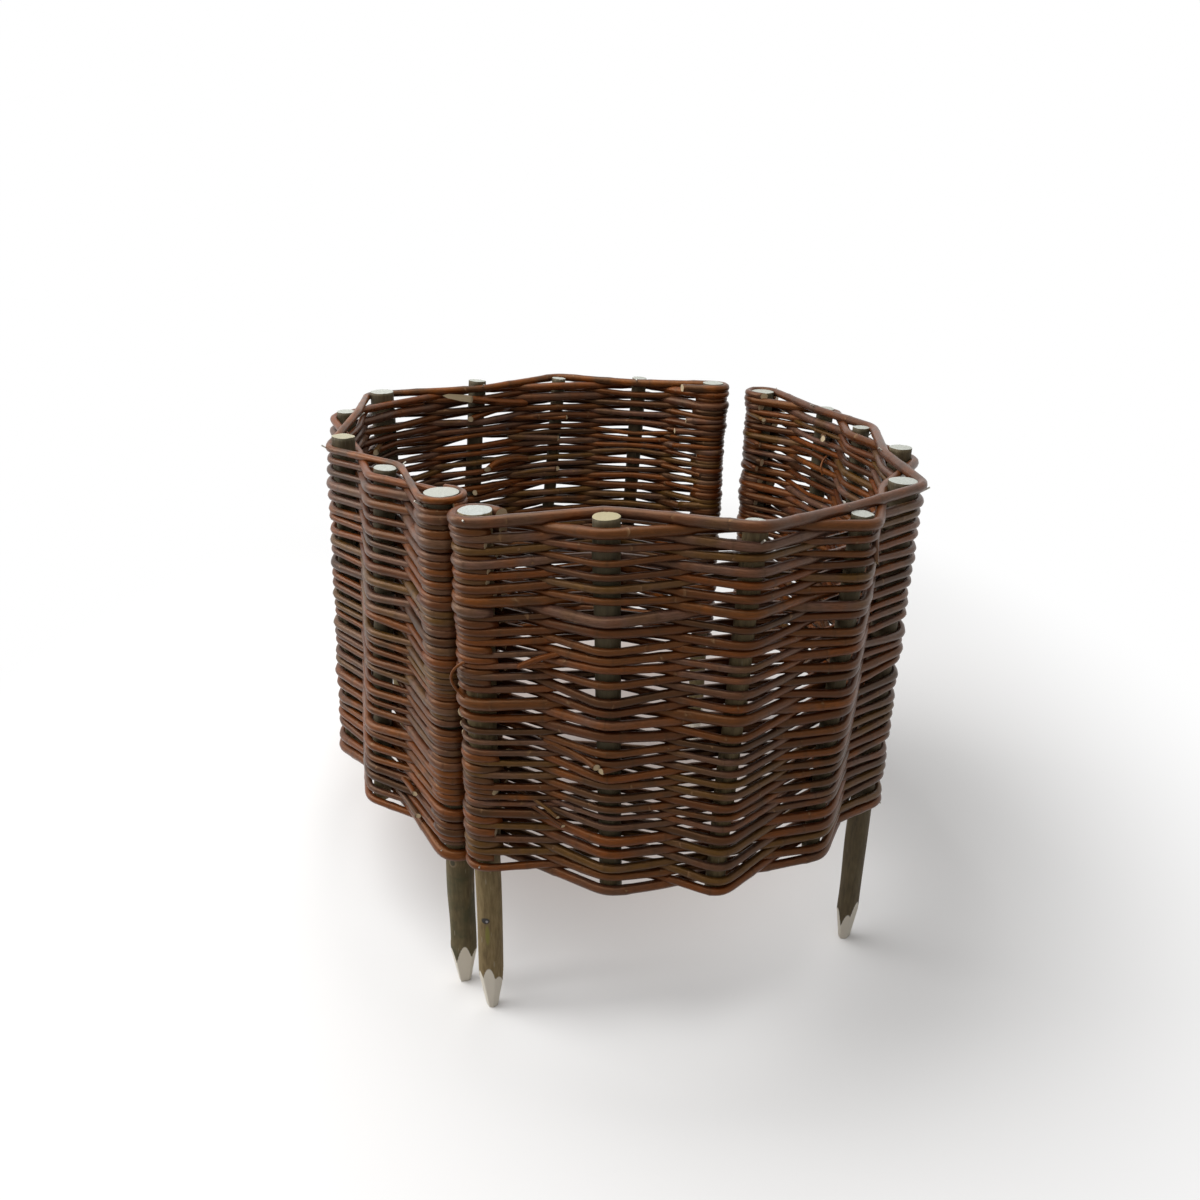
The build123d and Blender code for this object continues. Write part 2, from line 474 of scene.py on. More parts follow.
def rod_ends(random, half, rod, level):
    """The turn of each end round its stake in degrees, and its straight tail in mm.

    Both are drawn from the ranges above. On the bare stretch of the right half every
    second rod stops at its turn, and the two lowest rods have turns of their own.
    """
    lying = random.random(2) < LYING_SHARES
    wraps, tails = (np.where(lying, random.uniform(*along, 2), random.uniform(*in_wall, 2))
                    for along, in_wall in zip(LYING, DIVING))
    stopped = random.random(2) < STOPPED_SHARE
    if half == "right" and rod % 2 == 0 and BARE_STRETCH[0] < level < BARE_STRETCH[1]:
        stopped[0] = True
    wraps[stopped], tails[stopped] = STOPPED
    if rod < len(LOWEST):
        wraps[:], tails[:] = LOWEST[rod]
    return np.radians(wraps), tails * MM


print("ends in a half:", 2 * RODS)

# %% [markdown]
# Now every rod of a half is laid. A few of its rings are a little wider: these are the
# nodes, where the buds of the living rod were. Besides its line and radius, each ring
# keeps its place along the rod, so that the bark can be painted as if the rod were laid
# out straight, and each rod keeps a tone for its colour.

# %% Lay the rods of a half
NODE_SPACING = 52 * MM
NODE_GAPS = (0.7, 1.4)
MOST_NODES = 40
NODE_SWELL = 0.09
PRESSING = 1.29
WOBBLE = 0.025
WOBBLE_PLACES = np.arange(0, 2, 0.03)
HEIGHT_SAMPLES = 10
CUT_SLANT = 0.9
PATTERN_STEP = 1.7

Rods = namedtuple("Rods", "line radius laid knuckle tone cut")


def lay_rods(half, random):
    """Works out every rod of a half: its line, its radius and the places of its nodes.

    The radius goes evenly from one end's to the other's. It is then pressed on by a
    factor, swollen at the nodes, and made to wobble a little along the rod.
    """
    row = stakes[half]
    first, last = rod_sizes(random, WALLS[half])
    heights = rod_heights(random, WALLS[half], first, last)
    lines, radii, laid, knuckles = [], [], [], []
    for rod in range(RODS):
        level = heights[rod].mean()
        wraps, tails = rod_ends(random, half, rod, level)
        middle = (first[rod] + last[rod]) / 4
        flat, length, at_stake = rod_line(row, half, rod, level, middle, wraps, tails)
        crossing = (at_stake[1:] + at_stake[:-1]) / 2
        knots = np.sort(np.concatenate((at_stake, crossing)))
        height = soften(np.interp(length, knots, heights[rod]), HEIGHT_SAMPLES)
        line = np.stack((flat.real, flat.imag, height), axis=1)
        rings = place_rings(line, length)
        gaps = random.uniform(*NODE_GAPS, MOST_NODES) * NODE_SPACING
        nodes = np.cumsum(gaps) + length[0]
        nodes = nodes[nodes < length[-1]]
        nearest = abs(rings[:, None] - nodes).argmin(axis=0)
        rings[nearest] = nodes
        knuckle = np.zeros(RINGS)
        knuckle[nearest] = 1.0
        share = (rings - length[0]) / (length[-1] - length[0])
        radius = (first[rod] + (last[rod] - first[rod]) * share) / 2 * PRESSING
        wobble = random.normal(0, WOBBLE, len(WOBBLE_PLACES))
        wobble = np.interp(rings, WOBBLE_PLACES, wobble)
        lines.append(np.stack([np.interp(rings, length, part) for part in line.T], axis=1))
        radii.append(radius * (1 + NODE_SWELL * knuckle + wobble))
        laid.append(rings + rod * PATTERN_STEP)
        knuckles.append(knuckle)
    tone = random.random(RODS)
    cut = random.uniform(-CUT_SLANT, CUT_SLANT, (RODS, 2, 1))
    return Rods(*map(np.array, (lines, radii, laid, knuckles)), tone, cut)


print("rods to lay in each half:", RODS)

# %% [markdown]
# ## Spliced ends
#
# Where a rod is too short to reach the end of the wall, the weaver lays in a new one
# beside it and cuts both ends off at a stake. Here and there such a cut end, a thin
# twig or a loose loop stands out of the wall. They are few and each is different, so they
# are given one by one, as three points: the place along the wall counted in stakes, the
# height and the distance out of the wall in mm. The last point is the cut end.

# %% The spliced ends
Spliced = namedtuple("Spliced", "points radius tone slant")
SPLICED = {
    "left": (
        (((5.6, 472, -2), (5.3, 476, -9), (4.86, 485, -16)), 4.4, 0.4, -8.5),
        (((5.4, 468, -1), (5.1, 464, -9), (4.86, 461, -18)), 3.4, 0.35, -0.8),
        (((5.7, 398, -2), (5.35, 402, -9), (5.12, 396, -19)), 3.8, 0.95, -1.2),
        (((5.5, 370, -1), (5.2, 366, -9), (4.94, 367, -18)), 3.4, 0.3, -0.5),
        (((5.4, 455, -2), (5.8, 452, -8), (6.13, 452, -14)), 2.8, 0.35, 0.6),
        (((5.4, 430, -2), (5.75, 427, -9), (6.04, 425, -15)), 3.6, 0.6, 0.7),
        (((5.4, 380, -2), (5.8, 383, -8), (6.06, 385, -15)), 3.2, 0.75, 0.8),
        (((7.4, 392, -2), (7.7, 391, -9), (7.97, 390, -16)), 3.2, 0.3, 0.6),
        (((3.9, 446, -1), (3.6, 448, -8), (3.4, 448, -14)), 3.4, 0.7, -0.8),
        (((4.4, 483, -2), (4.2, 485, -8), (4.05, 488, -14)), 2.4, 0.4, -0.6),
        (((0.9, 196, -1), (0.6, 199, 6), (0.38, 201, 15)), 2.6, 0.35, 0.8),
        (((0.9, 180, -1), (0.6, 178, 6), (0.36, 177, 14)), 2.6, 0.6, 0.8),
    ),
    "right": (
        (((0.95, 393, -2), (0.62, 386, 5), (0.36, 375, 13)), 2.6, 0.45, 0.8),
        (((0.5, 303, 0), (0.75, 299, 8), (0.95, 296, 19)), 3.0, 0.3, 0.5),
        (((1.5, 299, 0), (1.2, 295, 8), (0.99, 293, 19)), 2.8, 0.2, -0.6),
        (((0.2, 243, 0), (0.42, 238, 6), (0.66, 228, 12)), 1.8, 0.1, 0.9),
        (((0.25, 250, 0), (0.45, 244, 6), (0.62, 236, 12)), 1.6, 0.75, 0.9),
        (((3.35, 474, 0), (3.14, 470, 9), (3.05, 455, 15)), 2.6, 0.8, 1.0),
        (((6.9, 468, -2), (6.75, 468, -9), (6.6, 469, -17)), 3.6, 0.7, 0.8),
        (((6.68, 446, -6), (6.62, 438, -14), (6.58, 428, -13)), 1.3, 0.9, 0.5),
        (((0.06, 380, 15), (-0.16, 362, 19), (-0.06, 339, 15)), 1.2, 0.93, 0.5),
    ),
}


def wall_point(half, place, height, out):
    """A point of the wall: on the straight line between two stakes, and a distance out."""
    row = stakes[half]
    flat = stake_centres(row, height * MM)
    number = min(max(int(np.floor(place)), 0), STAKES - 2)
    run = flat[number + 1] - flat[number]
    outward = np.array([-run[1], run[0]]) * OUT_IS_LEFT[half] / np.linalg.norm(run)
    ground = flat[number] + run * (place - number) + outward * out * MM
    return np.array([*ground, height * MM])


SPLICED_WOBBLE = 0.03
WOBBLE_WAVES = (8, 20)
TONE_STEP = 9


def lay_spliced(half, random):
    """Each spliced end as a rod: a smooth curve through its three points, in even rings.

    The curve is the parabola through the three points: a share t along it, it is their
    sum with the weights (1 - t)(1 - 2t), 4t(1 - t) and t(2t - 1).
    """
    chosen = [Spliced(*row) for row in SPLICED[half]]
    share = np.linspace(0.0, 1.0, RINGS)[:, None]
    weights = ((1 - share) * (1 - 2 * share), 4 * share * (1 - share), share * (2 * share - 1))
    lines = []
    for spliced in chosen:
        points = [wall_point(half, *place) for place in spliced.points]
        lines.append(sum(weight * point for weight, point in zip(weights, points)))
    radius = np.array([spliced.radius for spliced in chosen])[:, None] * MM
    waves = random.uniform(*WOBBLE_WAVES, (len(chosen), 1))
    wobble = 1 + SPLICED_WOBBLE * np.sin(share.T * waves)
    tone = np.array([spliced.tone for spliced in chosen])
    slant = np.array([(0.0, spliced.slant) for spliced in chosen])[..., None]
    step = np.linalg.norm(np.diff(lines, axis=1), axis=2)
    laid = np.pad(np.cumsum(step, axis=1), ((0, 0), (1, 0))) + tone[:, None] * TONE_STEP
    return Rods(np.array(lines), radius * wobble, laid, 0 * laid, tone, slant)


print("spliced ends:", {half: len(rows) for half, rows in SPLICED.items()})

# %% [markdown]
# ## The skin of the rods
#
# A ring stands square to its rod. Its two directions are the level way across the rod and
# the way that is square to both. A real rod isn't quite round, so each ring is a little
# oval. Both ends are closed by a cap, which slants, because a rod is cut with one pull of
# a knife.

# %% The skin of the rods
ROD_SIDES = 10
OVAL = 0.035
ANY_TURN = 6.3


def rod_surface(rods, random):
    """Rings round the lines, then a slanted cap on each end.

    A point of a ring is its middle plus the radius times (cosine of its angle times the
    level way across plus sine times the way up). The end rings slide along the rod by the
    slant times the radius times the cosine, which gives an oblique cut.
    """
    count = len(rods.radius)
    way = np.gradient(rods.line, axis=1)
    way /= np.linalg.norm(way, axis=2, keepdims=True)
    across = np.cross(UP, way)
    across /= np.linalg.norm(across, axis=2, keepdims=True)
    rise = np.cross(way, across)
    angle = np.arange(ROD_SIDES) * 2 * np.pi / ROD_SIDES
    lean = random.uniform(0, ANY_TURN, (count, 1))
    reach = rods.radius[:, :, None] * (1 + OVAL * np.cos(2 * angle + lean))[:, None, :]
    spin = np.cos(angle)[:, None], np.sin(angle)[:, None]
    points = rods.line[:, :, None] + reach[..., None] * (
        spin[0] * across[:, :, None] + spin[1] * rise[:, :, None])
    slide = rods.cut * np.cos(angle) * rods.radius[:, [0, -1], None]
    points[:, [0, -1]] += slide[..., None] * way[:, [0, -1], None]
    caps = rods.line[:, [0, -1]]
    laid = np.stack((
        np.broadcast_to(rods.laid[:, :, None], points.shape[:3]),
        rods.radius[:, :, None] * np.cos(angle),
        rods.radius[:, :, None] * np.sin(angle)), axis=3)
    laid_caps = np.stack((rods.laid[:, [0, -1]], *np.zeros((2, count, 2))), axis=2)
    return points, caps, laid, laid_caps


def rod_faces(count):
    """Quads along every rod, and a fan of triangles on each of its ends."""
    side = np.arange(ROD_SIDES)
    ahead_side = (side + 1) % ROD_SIDES
    ring = np.arange(RINGS - 1)[:, None] * ROD_SIDES
    base = np.arange(count)[:, None, None] * RINGS * ROD_SIDES
    quads = np.stack((base + ring + side, base + ring + ahead_side,
                      base + ring + ROD_SIDES + ahead_side, base + ring + ROD_SIDES + side),
                     axis=3)
    start = np.arange(count)[:, None] * RINGS * ROD_SIDES
    end = start + (RINGS - 1) * ROD_SIDES
    hub = count * RINGS * ROD_SIDES + 2 * np.arange(count)[:, None]
    near = np.stack(np.broadcast_arrays(start + ahead_side, start + side, hub), axis=2)
    far = np.stack(np.broadcast_arrays(end + side, end + ahead_side, hub + 1), axis=2)
    fans = np.concatenate((near.reshape(-1, 3), far.reshape(-1, 3)))
    return quads.reshape(-1, 4).tolist() + fans.tolist(), quads.size // 4, len(fans)


print("faces in one rod:", (RINGS - 1) * ROD_SIDES + 2 * ROD_SIDES)

# %% [markdown]
# ## The two walls
#
# The rods and the spliced ends of a half become one piece. Every point keeps the tone of
# its rod, whether it lies on a node, and its place on the rod laid out straight. The caps
# are marked as fresh cuts. Each half has its own seed, so the two walls differ, and each
# comes out the same every time.

# %% Weave the two walls


def weave(half, seed):
    """The woven wall of one half, as one piece with every rod in it."""
    random = np.random.default_rng(seed)
    pair = (lay_rods(half, random), lay_spliced(half, random))
    rods = Rods(*(np.concatenate(both) for both in zip(*pair)))
    points, caps, laid, laid_caps = rod_surface(rods, random)
    count = len(rods.tone)
    faces, quads, fans = rod_faces(count)
    skin = points.reshape(-1, 3)
    tone = np.concatenate((np.repeat(rods.tone, RINGS * ROD_SIDES), np.repeat(rods.tone, 2)))
    knuckle = np.concatenate((np.repeat(rods.knuckle.ravel(), ROD_SIDES), np.zeros(2 * count)))
    values = {
        "tone": tone,
        "knuckle": knuckle,
        "laid_straight": np.concatenate((laid.reshape(-1, 3), laid_caps.reshape(-1, 3))),
    }
    smooth = np.arange(quads + fans) < quads
    points = np.concatenate((skin, caps.reshape(-1, 3)))
    piece = make_piece(f"{half}_rods", f"{half}_weave", points, faces,
                       smooth, values)
    fresh = piece.data.attributes.new("fresh_cut", "FLOAT", "FACE")
    fresh.data.foreach_set("value", (~smooth).astype(np.float32))
    print(piece.name, "triangles:", 2 * quads + fans)
    return piece


left_rods = weave("left", 11)
right_rods = weave("right", 23)

# %% [markdown]
# ## The hazel stakes
#
# A stake is a pole cut from a hazel bush. Its top is sawn flat, and six of the stakes run
# on below the wall, where their feet are cut to a point with a few strokes of a knife. A
# pole is one surface over an angle and a height. The strokes are flat cuts: at each angle
# the surface is the nearer of the round bark and the cut planes, so the bark ends in the
# scalloped edge that a knife leaves.

# %% Bark and knife cuts
BARK_WAVES = 9
WAVES_ROUND = (1, 6)
WAVES_PER_M = (8, 70)
WAVE_HEIGHT = 0.16
KNOT_REACH = 5 * MM
USUAL_RADIUS = 12 * MM
POINT_LENGTH = 48 * MM
POINT_TIP = 5.2 * MM
POINT_STROKES = 6
STRAY_TURN = 0.22
STROKE_LENGTHS = (0.82, 1.12)
STROKE_DEPTHS = (0.85, 1.1)
LEAST_FACING = 0.05


def bark_relief(random, angle, height, knots):
    """Long slow waves round and along the pole, plus a round bump for each knot.

    A wave is its size times the cosine of its count round the pole times the angle, plus
    its waves per metre times the height. A bump is its size times e to the power of minus
    the squared distance over the squared reach.
    """
    relief = np.zeros(np.broadcast(angle, height).shape)
    for _ in range(BARK_WAVES):
        round_count = random.integers(*WAVES_ROUND)
        wave = random.uniform(*WAVES_PER_M)
        size = random.normal(0, WAVE_HEIGHT) * MM
        start = random.uniform(0, ANY_TURN)
        relief += size * np.cos(round_count * angle + wave * height + start)
    for knot_angle, knot_height, size in knots:
        aside = np.angle(np.exp(1j * (angle - knot_angle))) * USUAL_RADIUS
        away = aside ** 2 + (height - knot_height) ** 2
        relief += size * np.exp(-away / KNOT_REACH ** 2)
    return relief


def knife_cuts(random, angle, height, radius):
    """The distance to the nearest of the cut planes, seen from the middle of the pole.

    Straight towards a cut it is the depth at the tip plus the slope times the height. In
    another direction it is that over the cosine of the angle between the two.
    """
    turn = np.arange(POINT_STROKES) + random.uniform(-STRAY_TURN, STRAY_TURN, POINT_STROKES)
    bearing = turn * 2 * np.pi / POINT_STROKES + random.uniform(0, ANY_TURN)
    length = POINT_LENGTH * random.uniform(*STROKE_LENGTHS, POINT_STROKES)
    slope = (radius - POINT_TIP) / length
    depth = POINT_TIP * random.uniform(*STROKE_DEPTHS, POINT_STROKES)
    distance = depth + slope * height[..., None]
    facing = np.cos(angle[..., None] - bearing)
    away = distance / np.maximum(facing, LEAST_FACING)
    return np.where(facing > LEAST_FACING, away, 1.0).min(axis=-1)


print("slope of a cut in degrees:", round(float(np.degrees(np.arctan(
    (USUAL_RADIUS - POINT_TIP) / POINT_LENGTH)))))

# %% [markdown]
# The rings of a pole lie at even heights, and closer together on the point, where the
# edge of the bark has to show. The sawn top is a few flat rings, with the fine ragged
# edge that a saw leaves at the rim. How deep the bark has been cut away is kept at every
# point, because the material needs it.

# %% The surface of a stake
STAKE_SIDES = 56
STAKE_STEP = 3.6 * MM
POINT_RINGS = 42
POINT_ROOM = 1.25 * POINT_LENGTH
TOP_RINGS = 5
RIM_INSET = 0.955
RAGGED = 0.12
BARK_INSET = 0.15 * MM
TOP_RISE = 0.1 * MM
KNOTS_ON_LONG = 5
KNOTS_ON_SHORT = 3
KNOT_SIZES = (0.4, 1.2)
LOWEST_KNOT = 30 * MM
FOOT_PEEL = 1.5 * MM
TOP_PEEL = 3 * MM


def make_stake(stake, random):
    """Rings from the foot to the top, then flat rings to the middle of the sawn top.

    A point is the foot plus its height along the pole, plus its radius times the cosine of
    its angle one way and the sine the other way. The radius is the smaller of the bark's
    and the knife's.
    """
    length = np.linalg.norm(stake.top - stake.foot)
    way = (stake.top - stake.foot) / length
    across = np.cross(way, [0.0, 1.0, 0.0])
    across /= np.linalg.norm(across)
    third = np.cross(way, across)
    shank = np.linspace(POINT_ROOM if stake.long else 0.0, length, int(length / STAKE_STEP))
    low = np.linspace(0.0, POINT_ROOM, POINT_RINGS)[:-1] if stake.long else shank[:0]
    height = np.concatenate((low, shank))[:, None]
    angle = np.arange(STAKE_SIDES)[None, :] * 2 * np.pi / STAKE_SIDES
    count = KNOTS_ON_LONG if stake.long else KNOTS_ON_SHORT
    knots = [(random.uniform(0, ANY_TURN), random.uniform(LOWEST_KNOT, length),
              random.uniform(*KNOT_SIZES) * MM) for _ in range(count)]
    pole = stake.radius - POLE_TAPER * (length - height) + 0 * angle
    pole = pole + bark_relief(random, angle, height, knots) - BARK_INSET
    skin = pole
    if stake.long:
        foot_radius = stake.radius - POLE_TAPER * length
        skin = np.minimum(pole, knife_cuts(random, angle, height + 0 * angle, foot_radius))
    ragged = random.normal(0, RAGGED, STAKE_SIDES) * MM
    inner = np.linspace(RIM_INSET, 0.0, TOP_RINGS)[:, None] * skin[-1]
    top = length + TOP_RISE + ragged * np.linspace(1, 0, TOP_RINGS)[:, None]
    radius = np.concatenate((0 * skin[:1], skin, inner))
    rise = np.concatenate((height[:1] + 0 * angle, height + 0 * angle, top))
    points = (stake.foot + rise[..., None] * way
              + radius[..., None] * (np.cos(angle)[..., None] * across
                                     - np.sin(angle)[..., None] * third))
    peeled = np.concatenate((0 * pole[:1] + FOOT_PEEL, pole - skin, 0 * inner + TOP_PEEL))
    return points, peeled


def close_rings(points, values):
    """Welds the first and the last ring, which are points, into one vertex each."""
    rings, sides = points.shape[:2]
    body = points[1:-1].reshape(-1, 3)
    hubs = np.stack((points[0].mean(axis=0), points[-1].mean(axis=0)))
    inner = values[1:-1].reshape(-1)
    ends = np.array([values[0].mean(), values[-1].mean()])
    side = np.arange(sides)
    after = (side + 1) % sides
    ring = np.arange(rings - 3)[:, None] * sides
    quads = np.stack((ring + side, ring + sides + side, ring + sides + after, ring + after),
                     axis=2)
    last = (rings - 3) * sides
    low, high = len(body), len(body) + 1
    near = np.stack((side, after, 0 * side + low), axis=1)
    far = np.stack((last + after, last + side, 0 * side + high), axis=1)
    faces = quads.reshape(-1, 4).tolist() + near.tolist() + far.tolist()
    return np.concatenate((body, hubs)), np.concatenate((inner, ends)), faces


print("points round a stake:", STAKE_SIDES)

# %% [markdown]
# No two stakes look the same. Four numbers say how tan the cut wood of a stake is, how
# green its bark is, and how bright the bark is inside the wall and below it. Those two
# brightnesses are painted shade and light: inside the wall the bark is darkened for the
# shade between the rods, and the legs of some stakes in front are painted lighter or darker
# as the light falls on them. Most stakes share the plain ones, and the stakes in front have
# their own. Each stake also has its own seed, from which its bark, its knots and its cuts
# are drawn.

# %% Make the stakes
STAKE_SEEDS = {"left": 600, "right": 400}

Look = namedtuple("Look", "tan green in_wall leg")
PLAIN = Look(0.15, 0.6, 0.42, 1.0)
# The last two numbers are painted shade and light: bark darkened in the wall, legs lit or shaded.
LOOKS = {
    "left_stake_1": Look(0.2, 1.0, 0.42, 0.8),
    "left_stake_3": Look(0.75, 0.6, 0.42, 1.0),
    "right_stake_1": Look(0.0, 0.15, 0.85, 1.15),
    "right_stake_2": Look(1.0, 0.6, 0.42, 1.0),
    "right_stake_3": Look(0.1, 0.1, 0.7, 1.0),
    "right_stake_5": Look(0.1, 0.15, 0.35, 0.42),
}


def stake_piece(stake, seed):
    """One stake, with how deep the bark has been cut away stored at every point."""
    points, peeled = make_stake(stake, np.random.default_rng(seed))
    skin, depth, faces = close_rings(points, peeled)
    look = LOOKS.get(stake.node, PLAIN)._asdict()
    values = {name: np.full(len(skin), value) for name, value in look.items()}
    return make_piece(stake.node + "_pole", stake.node, skin, faces,
                      np.ones(len(faces), dtype=bool), {"peeled": depth / MM, **values})


stake_pieces = [
    stake_piece(stake, STAKE_SEEDS[half] + number)
    for half in ("left", "right")
    for number, stake in enumerate(stakes[half])
]
print("stakes made:", len(stake_pieces))

# %% [markdown]
# ## Willow bark
#
# Dried willow rods keep their thin bark. It is smooth and has a soft wax sheen, and no two
# rods have quite the same colour: red-brown, plum, olive and grey lie side by side. Each
# rod carries one number, its tone, which picks a place on a ramp of these colours. Patches
# along the rod and a fine grain darken or lighten it, and the nodes are dark rings with a
# pale bud scar. The pattern follows each rod, because it reads where a point would be if
# the rod were laid out straight.

# %% The colours of willow bark
# The grain of real bark is finer than this. It is drawn so coarse to show in the render.
GRAIN_PER_M = 1 / (1.1 * MM)
PATCH_PER_M = 1 / (38 * MM)
PATCH_SHIFT = 0.36
GRAIN_STRETCH = (0.18, 1.0, 1.0)

willow, tree = new_material("willow_bark_dried")
tone_out, knuckle_out, cut_out = (
    add_node(tree, "ShaderNodeAttribute", attribute_name=name).outputs["Fac"]
    for name in ("tone", "knuckle", "fresh_cut"))
laid_out = add_node(tree, "ShaderNodeAttribute",
                    attribute_name="laid_straight").outputs["Vector"]
along = add_node(tree, "ShaderNodeVectorMath", {0: laid_out, 1: GRAIN_STRETCH},
                 operation="MULTIPLY").outputs["Vector"]
patches = add_node(tree, "ShaderNodeTexNoise", {"Vector": laid_out, "Scale": PATCH_PER_M,
                                                "Detail": 2.0, "Roughness": 0.5}).outputs["Fac"]
grain = add_node(tree, "ShaderNodeTexNoise", {"Vector": along, "Scale": GRAIN_PER_M,
                                              "Detail": 3.0, "Roughness": 0.6}).outputs["Fac"]
shift = add_node(tree, "ShaderNodeMath", {0: patches, 1: PATCH_SHIFT, 2: -PATCH_SHIFT / 2},
                 operation="MULTIPLY_ADD").outputs[0]
place = add_node(tree, "ShaderNodeMath", {0: tone_out, 1: shift}, operation="ADD").outputs[0]
bark = add_node(tree, "ShaderNodeValToRGB", {"Fac": place}, stops=(
    (0.0, "#2c1a0e"), (0.14, "#48220e"), (0.3, "#573013"), (0.44, "#663310"), (0.58, "#4a342a"),
    (0.7, "#523813"), (0.82, "#5e443a"), (0.92, "#6e3a10"), (1.0, "#402818")))
shade = add_node(tree, "ShaderNodeMapRange", {"Value": grain, "From Min": 0.3, "From Max": 0.7,
                                              "To Min": 0.6, "To Max": 1.35}).outputs["Result"]
grained = add_node(tree, "ShaderNodeVectorMath", {0: bark.outputs["Color"], "Scale": shade},
                   operation="SCALE").outputs["Vector"]
print("nodes for the bark colours:", len(tree.nodes))

# %% Bud rings, cut ends and the willow's surface
SPOT_PER_M = 1 / (4.5 * MM)
RING_SHARPNESS = 5.0
RING_DARKNESS = 0.45

ring_mask = add_node(tree, "ShaderNodeMath", {0: knuckle_out, 1: RING_SHARPNESS},
                     operation="POWER").outputs[0]
ring_soft = add_node(tree, "ShaderNodeMath", {0: ring_mask, 1: RING_DARKNESS},
                     operation="MULTIPLY").outputs[0]
spots = add_node(tree, "ShaderNodeTexNoise", {"Vector": laid_out, "Scale": SPOT_PER_M,
                                              "Detail": 0.0}).outputs["Fac"]
spot_mask = add_node(tree, "ShaderNodeMapRange", {"Value": spots, "From Min": 0.66,
                                                  "From Max": 0.72}).outputs["Result"]
bud = add_node(tree, "ShaderNodeMath", {0: spot_mask, 1: ring_mask},
               operation="MULTIPLY").outputs[0]
coloured = grained
for mask, colour in ((ring_soft, "#1c120c"), (bud, "#7a5c40"), (cut_out, "#d2bf9c")):
    coloured = add_node(tree, "ShaderNodeMix", {"Factor": mask, 6: coloured, 7: linear(colour)},
                        data_type="RGBA").outputs[2]
bump = add_node(tree, "ShaderNodeBump", {"Height": grain, "Strength": 0.35,
                                         "Distance": 0.25 * MM}).outputs["Normal"]
surface = add_node(tree, "ShaderNodeBsdfPrincipled", {
    "Base Color": coloured, "Roughness": 0.35, "IOR": 1.45, "Normal": bump,
    "Specular Tint": linear("#ffc796")})
add_node(tree, "ShaderNodeOutputMaterial", {"Surface": surface.outputs["BSDF"]})
for piece in (left_rods, right_rods):
    piece.data.materials.append(willow)
print("willow nodes:", len(tree.nodes))

# %% [markdown]
# ## Hazel bark and cut hazel
#
# The bark of the stakes is grey-brown to olive, with streaks along the pole, small pale
# pores and green algae low down. Where the saw and the knife have been, the wood is pale
# and dry. Both are one material, because the cut edge wanders over the surface: the depth
# that was cut away, stored on the mesh, says where the bark ends.
#
# The foot of the first stake on each side shows small marks: an oval scar, and a dark
# knot with a pale middle and a green streak under it. Each is painted as an oval with a
# soft edge round a point of the stake.

# %% A helper for the marks


def add_mark(tree, under, middle, half_size, colour):
    """Paints a small oval mark with a soft edge; its middle and half sizes are in mm."""
    place = add_node(tree, "ShaderNodeTexCoord").outputs["Object"]
    local = add_node(tree, "ShaderNodeMapping", {
        "Vector": place, "Location": np.multiply(middle, MM), "Scale": np.multiply(half_size, MM)},
        vector_type="TEXTURE").outputs["Vector"]
    reach = add_node(tree, "ShaderNodeVectorMath", {0: local}, operation="LENGTH").outputs["Value"]
    mask = add_node(tree, "ShaderNodeMapRange", {"Value": reach, "From Min": 1.15,
                                                 "From Max": 0.8}).outputs["Result"]
    return add_node(tree, "ShaderNodeMix", {"Factor": mask, 6: under, 7: linear(colour)},
                    data_type="RGBA").outputs[2]


# Middle, half sizes and colour of each mark. A later one is painted over an earlier one.
MARKS = (
    ((5.6, -289.4, 147.7), (4.2, 4.2, 5.0), "#94805f"),
    ((5.6, -289.4, 147.7), (2.6, 2.6, 3.2), "#4f4830"),
    ((52.2, -301.2, 93.0), (2.0, 2.0, 11.0), "#7a7436"),
    ((50.9, -301.7, 109.2), (4.0, 4.0, 3.4), "#1a1511"),
    ((52.3, -301.7, 108.6), (1.2, 1.2, 1.4), "#a3a1a8"),
)
print("marks:", len(MARKS))

# %% Hazel bark
STREAK_PER_M = 1 / (3.0 * MM)
ALGAE_PER_M = 1 / (22 * MM)
PORE_PER_M = 1 / (4.2 * MM)
WALL_FOOT = (160 * MM, 185 * MM)
STREAK_STRETCH = (1.0, 1.0, 0.16)

hazel, tree = new_material("hazel_bark_and_cut_wood")
object_out = add_node(tree, "ShaderNodeTexCoord").outputs["Object"]
height_out = add_node(tree, "ShaderNodeSeparateXYZ", {0: object_out}).outputs["Z"]
peeled_out, tan_out, green_out, in_wall_out, leg_out = (
    add_node(tree, "ShaderNodeAttribute", attribute_name=name).outputs["Fac"]
    for name in ("peeled", *Look._fields))
stretched = add_node(tree, "ShaderNodeVectorMath", {0: object_out, 1: STREAK_STRETCH},
                     operation="MULTIPLY").outputs["Vector"]
streaks = add_node(tree, "ShaderNodeTexNoise", {"Vector": stretched, "Scale": STREAK_PER_M,
                                                "Detail": 4.0, "Roughness": 0.6}).outputs["Fac"]
algae = add_node(tree, "ShaderNodeTexNoise", {"Vector": object_out, "Scale": ALGAE_PER_M,
                                              "Detail": 3.0}).outputs["Fac"]
bark = add_node(tree, "ShaderNodeValToRGB", {"Fac": streaks}, stops=(
    (0.25, "#5a4829"), (0.45, "#75623f"), (0.6, "#84714c"), (0.78, "#9a8a66")))
patchy = add_node(tree, "ShaderNodeMapRange", {"Value": algae, "From Min": 0.3, "From Max": 0.6,
                                               "To Max": 0.85}).outputs["Result"]
green = add_node(tree, "ShaderNodeMath", {0: patchy, 1: green_out},
                 operation="MULTIPLY").outputs[0]
pores = add_node(tree, "ShaderNodeTexVoronoi", {"Vector": stretched, "Scale": PORE_PER_M},
                 feature="F1").outputs["Distance"]
pore_mask = add_node(tree, "ShaderNodeMapRange", {"Value": pores, "From Min": 0.16,
                                                  "From Max": 0.1}).outputs["Result"]
